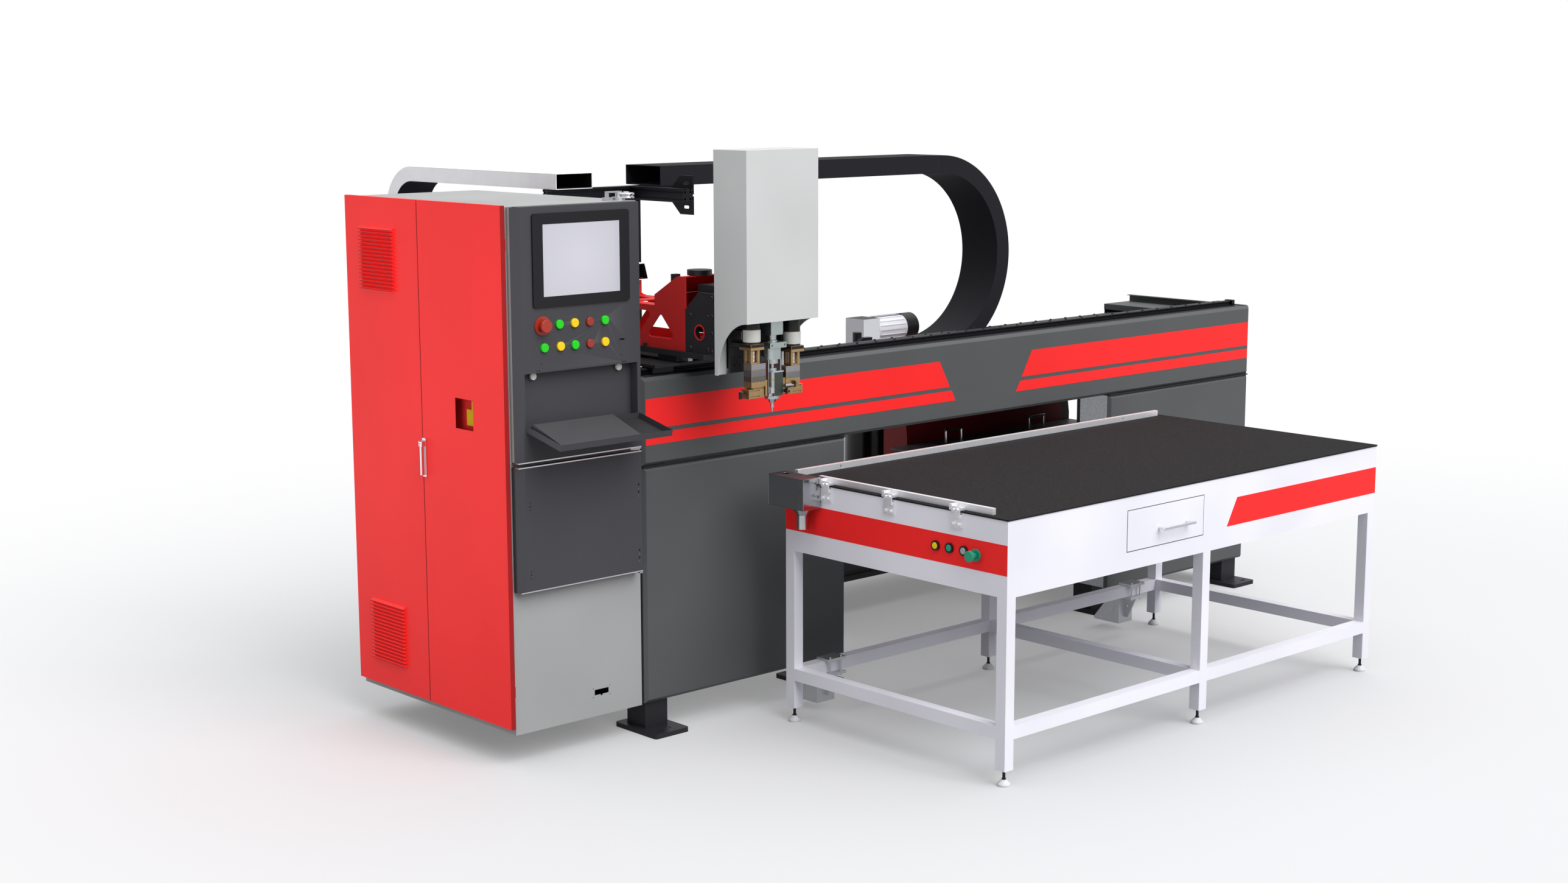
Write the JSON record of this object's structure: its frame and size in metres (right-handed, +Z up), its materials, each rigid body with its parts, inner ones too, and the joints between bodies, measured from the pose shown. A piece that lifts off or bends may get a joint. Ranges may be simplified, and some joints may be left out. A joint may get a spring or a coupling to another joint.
{
  "type": "foam gasket dispensing machine",
  "caption": "Gantry dispensing machine with a mixing head over a work table, a control cabinet, an operator console and a supply unit",
  "frame": {"origin": "on the floor, below the front left corner of the gantry's front cover", "axes": "+X along the crossbeam to the right, +Y to the rear, +Z up"},
  "size_m": [4.868, 3.786, 2.426],
  "materials": {
    "black_paint": "satin black powder coat on steel",
    "rail_steel": "ground bearing steel",
    "grey_paint": "smooth dark grey powder coat",
    "brushed_sheet": "bright sheet steel",
    "red_stripe_paint": "gloss red film on the panels",
    "cabinet_paint": "grey powder coat",
    "zinc_steel": "bright zinc",
    "console_paint": "textured dark grey powder coat",
    "screen_glass": "clear front glass of a display",
    "black_duct_plastic": "moulded black polyamide",
    "white_duct_plastic": "moulded white polyamide",
    "white_paint": "white powder coat",
    "mat_rubber": "dark grey table mat",
    "machined_aluminium": "clear anodised, machined",
    "stainless_steel": "polished stainless sheet",
    "hood_paint": "red and black powder coat",
    "motor_aluminium": "cast and ribbed",
    "regulator_metal": "die cast with a black bowl",
    "door_paint": "gloss red powder coat",
    "handle_metal": "satin chrome",
    "keyboard_plastic": "moulded grey keys",
    "black_steel": "black oxide steel",
    "black_aluminium": "black anodised extrusion",
    "truss_paint": "red powder coat",
    "cover_paint": "light grey powder coat",
    "mixer_aluminium": "blue-grey anodised with steel chamber",
    "pump_metal": "anodised housings and black motors",
    "coupling_steel": "turned, clamp type",
    "stop_red_plastic": "moulded red",
    "green_plastic": "moulded green",
    "yellow_plastic": "moulded yellow",
    "dark_red_plastic": "moulded dark red",
    "teal_plastic": "moulded teal green",
    "grey_plastic": "moulded grey"
  },
  "bodies": {
    "base": {"gantry_frame": "black_paint", "x_rails": "rail_steel", "front_fascia": "grey_paint", "pillar_panels": "grey_paint", "pillar_inner_panels": "brushed_sheet", "red_stripes": "red_stripe_paint", "cabinet_shell": "cabinet_paint", "cabinet_fittings": "zinc_steel", "console_housing": "console_paint", "screen_glass": "screen_glass", "x_duct_lower": "black_duct_plastic", "table_frame": "white_paint", "table_mat": "mat_rubber", "locating_bars": "machined_aluminium", "purge_funnel": "stainless_steel", "table_feet": "zinc_steel", "table_brackets": "machined_aluminium", "supply_tank": "stainless_steel", "supply_hood": "hood_paint", "agitator_motor": "motor_aluminium", "air_regulator": "regulator_metal"},
    "rear_door": {"rear_door": "door_paint"},
    "front_door": {"front_door": "door_paint", "handle_base": "handle_metal"},
    "lever": {"handle_lever": "handle_metal"},
    "console_door": {"console_lower_door": "console_paint"},
    "tray": {"keyboard_tray": "console_paint", "keyboard": "keyboard_plastic"},
    "drawer": {"drawer": "white_paint", "drawer_handle": "handle_metal"},
    "saddle": {"saddle": "black_steel", "overhead_frame": "black_aluminium", "x_duct_upper": "black_duct_plastic", "y_duct_upper": "white_duct_plastic"},
    "x_bend": {"x_duct_bend": "black_duct_plastic"},
    "y_bend": {"y_duct_bend": "white_duct_plastic"},
    "arm": {"arm_truss": "truss_paint", "arm_carrier": "black_steel", "y_duct_lower": "white_duct_plastic", "z_cover": "cover_paint"},
    "head": {"head_plate": "black_steel", "mixer_body": "mixer_aluminium", "pumps": "pump_metal"},
    "mixer": {"mixer_rotor": "coupling_steel"},
    "coupling_left": {"pump_coupling_left": "coupling_steel"},
    "coupling_right": {"pump_coupling_right": "coupling_steel"},
    "emergency_stop": {"emergency_stop": "stop_red_plastic"},
    "button_a1": {"button_a1": "green_plastic"},
    "button_a2": {"button_a2": "yellow_plastic"},
    "button_a3": {"button_a3": "dark_red_plastic"},
    "button_a4": {"button_a4": "green_plastic"},
    "button_b1": {"button_b1": "green_plastic"},
    "button_b2": {"button_b2": "yellow_plastic"},
    "button_b3": {"button_b3": "green_plastic"},
    "button_b4": {"button_b4": "dark_red_plastic"},
    "button_b5": {"button_b5": "yellow_plastic"},
    "table_button_yellow": {"table_button_yellow": "yellow_plastic"},
    "table_button_green": {"table_button_green": "teal_plastic"},
    "table_button_grey": {"table_button_grey": "grey_plastic"},
    "table_mushroom": {"table_mushroom": "teal_plastic"}
  },
  "joints": [
    {"name": "saddle_slide", "type": "slide", "parent": "base", "child": "saddle", "axis": [1, 0, 0], "range_m": [0, 2.6], "deforming": ["x_duct_upper"]},
    {"name": "arm_slide", "type": "slide", "parent": "saddle", "child": "arm", "axis": [0, -1, 0], "range_m": [-0.12, 1.03], "deforming": ["y_duct_upper"]},
    {"name": "head_slide", "type": "slide", "parent": "arm", "child": "head", "axis": [0, 0, -1], "range_m": [0, 0.28]},
    {"name": "x_bend_slide", "type": "slide", "parent": "base", "child": "x_bend", "axis": [1, 0, 0], "range_m": [0, 1.3]},
    {"name": "y_bend_slide", "type": "slide", "parent": "saddle", "child": "y_bend", "axis": [0, -1, 0], "range_m": [-0.06, 0.515]},
    {"name": "mixer_spin", "type": "hinge", "parent": "head", "child": "mixer", "pos_m": [0.3535, -0.395, 1.676], "axis": [0, 0, 1], "continuous": true},
    {"name": "pump_left_spin", "type": "hinge", "parent": "head", "child": "coupling_left", "pos_m": [0.2445, -0.395, 1.6005], "axis": [0, 0, 1], "continuous": true},
    {"name": "pump_right_spin", "type": "hinge", "parent": "head", "child": "coupling_right", "pos_m": [0.4625, -0.395, 1.5762], "axis": [0, 0, 1], "continuous": true},
    {"name": "rear_door_hinge", "type": "hinge", "parent": "base", "child": "rear_door", "pos_m": [-0.661, 1.101, 1.2], "axis": [0, 0, -1], "range_deg": [0, 90]},
    {"name": "front_door_hinge", "type": "hinge", "parent": "base", "child": "front_door", "pos_m": [-0.661, 0.006, 1.2], "axis": [0, 0, 1], "range_deg": [0, 100]},
    {"name": "lever_hinge", "type": "hinge", "parent": "front_door", "child": "lever", "pos_m": [-0.703, 0.553, 1.248], "axis": [0, 1, 0], "range_deg": [0, 90]},
    {"name": "console_door_hinge", "type": "hinge", "parent": "base", "child": "console_door", "pos_m": [-0.046, -0.032, 0.965], "axis": [0, 0, 1], "range_deg": [0, 100]},
    {"name": "keyboard_tray_hinge", "type": "hinge", "parent": "base", "child": "tray", "pos_m": [-0.335, -0.0429, 1.3496], "axis": [-1, 0, 0], "range_deg": [0, 102]},
    {"name": "drawer_slide", "type": "slide", "parent": "base", "child": "drawer", "axis": [0, -1, 0], "range_m": [0, 0.42]},
    {"name": "emergency_stop_push", "type": "slide", "parent": "base", "child": "emergency_stop", "axis": [0, 1, 0], "range_m": [0, 0.005], "stiffness_N_per_m": 1200, "springref_m": -0.002},
    {"name": "button_a1_push", "type": "slide", "parent": "base", "child": "button_a1", "axis": [0, 1, 0], "range_m": [0, 0.004], "stiffness_N_per_m": 800, "springref_m": -0.002},
    {"name": "button_a2_push", "type": "slide", "parent": "base", "child": "button_a2", "axis": [0, 1, 0], "range_m": [0, 0.004], "stiffness_N_per_m": 800, "springref_m": -0.002},
    {"name": "button_a3_push", "type": "slide", "parent": "base", "child": "button_a3", "axis": [0, 1, 0], "range_m": [0, 0.004], "stiffness_N_per_m": 800, "springref_m": -0.002},
    {"name": "button_a4_push", "type": "slide", "parent": "base", "child": "button_a4", "axis": [0, 1, 0], "range_m": [0, 0.004], "stiffness_N_per_m": 800, "springref_m": -0.002},
    {"name": "button_b1_push", "type": "slide", "parent": "base", "child": "button_b1", "axis": [0, 1, 0], "range_m": [0, 0.004], "stiffness_N_per_m": 800, "springref_m": -0.002},
    {"name": "button_b2_push", "type": "slide", "parent": "base", "child": "button_b2", "axis": [0, 1, 0], "range_m": [0, 0.004], "stiffness_N_per_m": 800, "springref_m": -0.002},
    {"name": "button_b3_push", "type": "slide", "parent": "base", "child": "button_b3", "axis": [0, 1, 0], "range_m": [0, 0.004], "stiffness_N_per_m": 800, "springref_m": -0.002},
    {"name": "button_b4_push", "type": "slide", "parent": "base", "child": "button_b4", "axis": [0, 1, 0], "range_m": [0, 0.004], "stiffness_N_per_m": 800, "springref_m": -0.002},
    {"name": "button_b5_push", "type": "slide", "parent": "base", "child": "button_b5", "axis": [0, 1, 0], "range_m": [0, 0.004], "stiffness_N_per_m": 800, "springref_m": -0.002},
    {"name": "table_button_yellow_push", "type": "slide", "parent": "base", "child": "table_button_yellow", "axis": [1, 0, 0], "range_m": [0, 0.004], "stiffness_N_per_m": 800, "springref_m": -0.002},
    {"name": "table_button_green_push", "type": "slide", "parent": "base", "child": "table_button_green", "axis": [1, 0, 0], "range_m": [0, 0.004], "stiffness_N_per_m": 800, "springref_m": -0.002},
    {"name": "table_button_grey_push", "type": "slide", "parent": "base", "child": "table_button_grey", "axis": [1, 0, 0], "range_m": [0, 0.004], "stiffness_N_per_m": 800, "springref_m": -0.002},
    {"name": "table_mushroom_push", "type": "slide", "parent": "base", "child": "table_mushroom", "axis": [1, 0, 0], "range_m": [0, 0.005], "stiffness_N_per_m": 1200, "springref_m": -0.002}
  ],
  "couplings": [
    {"joint": "x_bend_slide", "follows": "saddle_slide", "ratio": 0.5},
    {"joint": "y_bend_slide", "follows": "arm_slide", "ratio": 0.5}
  ]
}
